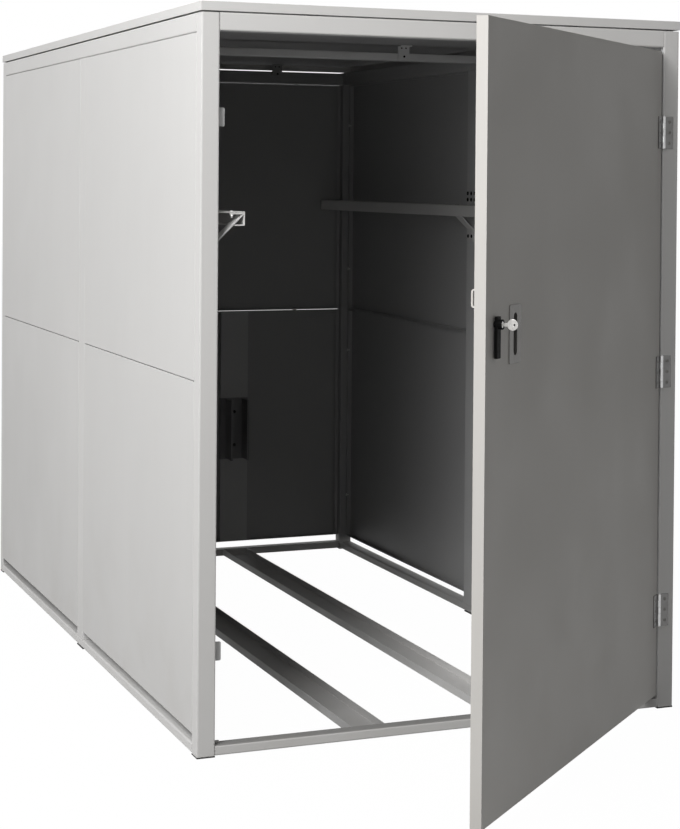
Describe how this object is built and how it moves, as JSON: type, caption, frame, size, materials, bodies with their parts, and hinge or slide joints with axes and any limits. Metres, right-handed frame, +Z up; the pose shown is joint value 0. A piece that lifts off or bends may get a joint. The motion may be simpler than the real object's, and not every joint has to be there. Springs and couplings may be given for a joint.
{
  "type": "bicycle locker",
  "caption": "Long upright steel locker for bicycles, with flush folded panels, a flat roof, wheel gutters, wheel holders, guard rails and a hinged front door with a lever lock.",
  "frame": {"origin": "centre of the underside of the front left foot pad, on the ground", "axes": "+X to the right along the front, towards the hinge side; +Y from the door to the rear wall; +Z up"},
  "size_m": [1.094, 2.7357, 1.515],
  "materials": {
    "frame_paint": "satin powder coat, light warm grey",
    "panel_paint": "satin powder coat, light warm grey outside, dark inside",
    "fitting_paint": "satin powder coat, mid grey",
    "door_paint": "satin powder coat, light warm grey",
    "stainless": "brushed",
    "black_metal": "satin black",
    "bright_metal": "nickel plated",
    "zinc_steel": "zinc plated",
    "pad_rubber": "matt"
  },
  "bodies": {
    "cabinet": {"post_front_left": "frame_paint", "post_front_right": "frame_paint", "post_mid_left": "frame_paint", "post_mid_right": "frame_paint", "post_rear_left": "frame_paint", "post_rear_right": "frame_paint", "header": "frame_paint", "rear_top_rail": "frame_paint", "top_rail_left": "frame_paint", "top_rail_right": "frame_paint", "threshold": "frame_paint", "rear_bottom_rail": "frame_paint", "bottom_rail_left": "frame_paint", "bottom_rail_right": "frame_paint", "roof_crossbar": "frame_paint", "panel_left_front_lower": "panel_paint", "panel_left_front_upper": "panel_paint", "panel_left_rear_lower": "panel_paint", "panel_left_rear_upper": "panel_paint", "panel_right_front_lower": "panel_paint", "panel_right_front_upper": "panel_paint", "panel_right_rear_lower": "panel_paint", "panel_right_rear_upper": "panel_paint", "panel_rear_lower": "panel_paint", "panel_rear_upper": "panel_paint", "roof_tray": "panel_paint", "wheel_gutter_left": "fitting_paint", "wheel_gutter_right": "fitting_paint", "wheel_holder_left": "fitting_paint", "wheel_holder_right": "fitting_paint", "guard_rail_left": "fitting_paint", "guard_rail_right": "fitting_paint", "rail_brace_front_left": "fitting_paint", "rail_brace_mid_left": "fitting_paint", "rail_brace_front_right": "fitting_paint", "rail_brace_mid_right": "fitting_paint", "hinge_lower_post_leaf": "stainless", "hinge_lower_pin": "stainless", "hinge_middle_post_leaf": "stainless", "hinge_middle_pin": "stainless", "hinge_upper_post_leaf": "stainless", "hinge_upper_pin": "stainless", "foot_pad_front_left": "pad_rubber", "foot_pad_front_right": "pad_rubber", "foot_pad_mid_left": "pad_rubber", "foot_pad_mid_right": "pad_rubber", "foot_pad_rear_left": "pad_rubber", "foot_pad_rear_right": "pad_rubber"},
    "door": {"door_skin": "door_paint", "door_lock_stile": "door_paint", "door_stiffener_lower": "door_paint", "door_stiffener_upper": "door_paint", "flush_pull": "stainless", "hinge_lower_door_leaf": "stainless", "hinge_middle_door_leaf": "stainless", "hinge_upper_door_leaf": "stainless"},
    "lever": {"lever_handle": "black_metal", "latch_cam": "zinc_steel"},
    "key": {"lock_plug": "bright_metal", "lock_key": "bright_metal"}
  },
  "joints": [
    {"name": "door_hinge", "type": "hinge", "parent": "cabinet", "child": "door", "pos_m": [1.0315, -0.0238, 0.7], "axis": [0, 0, 1], "range_deg": [-43, 127]},
    {"name": "lever_turn", "type": "hinge", "parent": "door", "child": "lever", "pos_m": [0.32064, -0.68012, 0.91053], "axis": [-0.682, 0.7314, 0], "range_deg": [0, 90]},
    {"name": "key_turn", "type": "hinge", "parent": "lever", "child": "key", "pos_m": [0.32064, -0.68012, 0.91053], "axis": [-0.682, 0.7314, 0], "range_deg": [0, 90]}
  ]
}
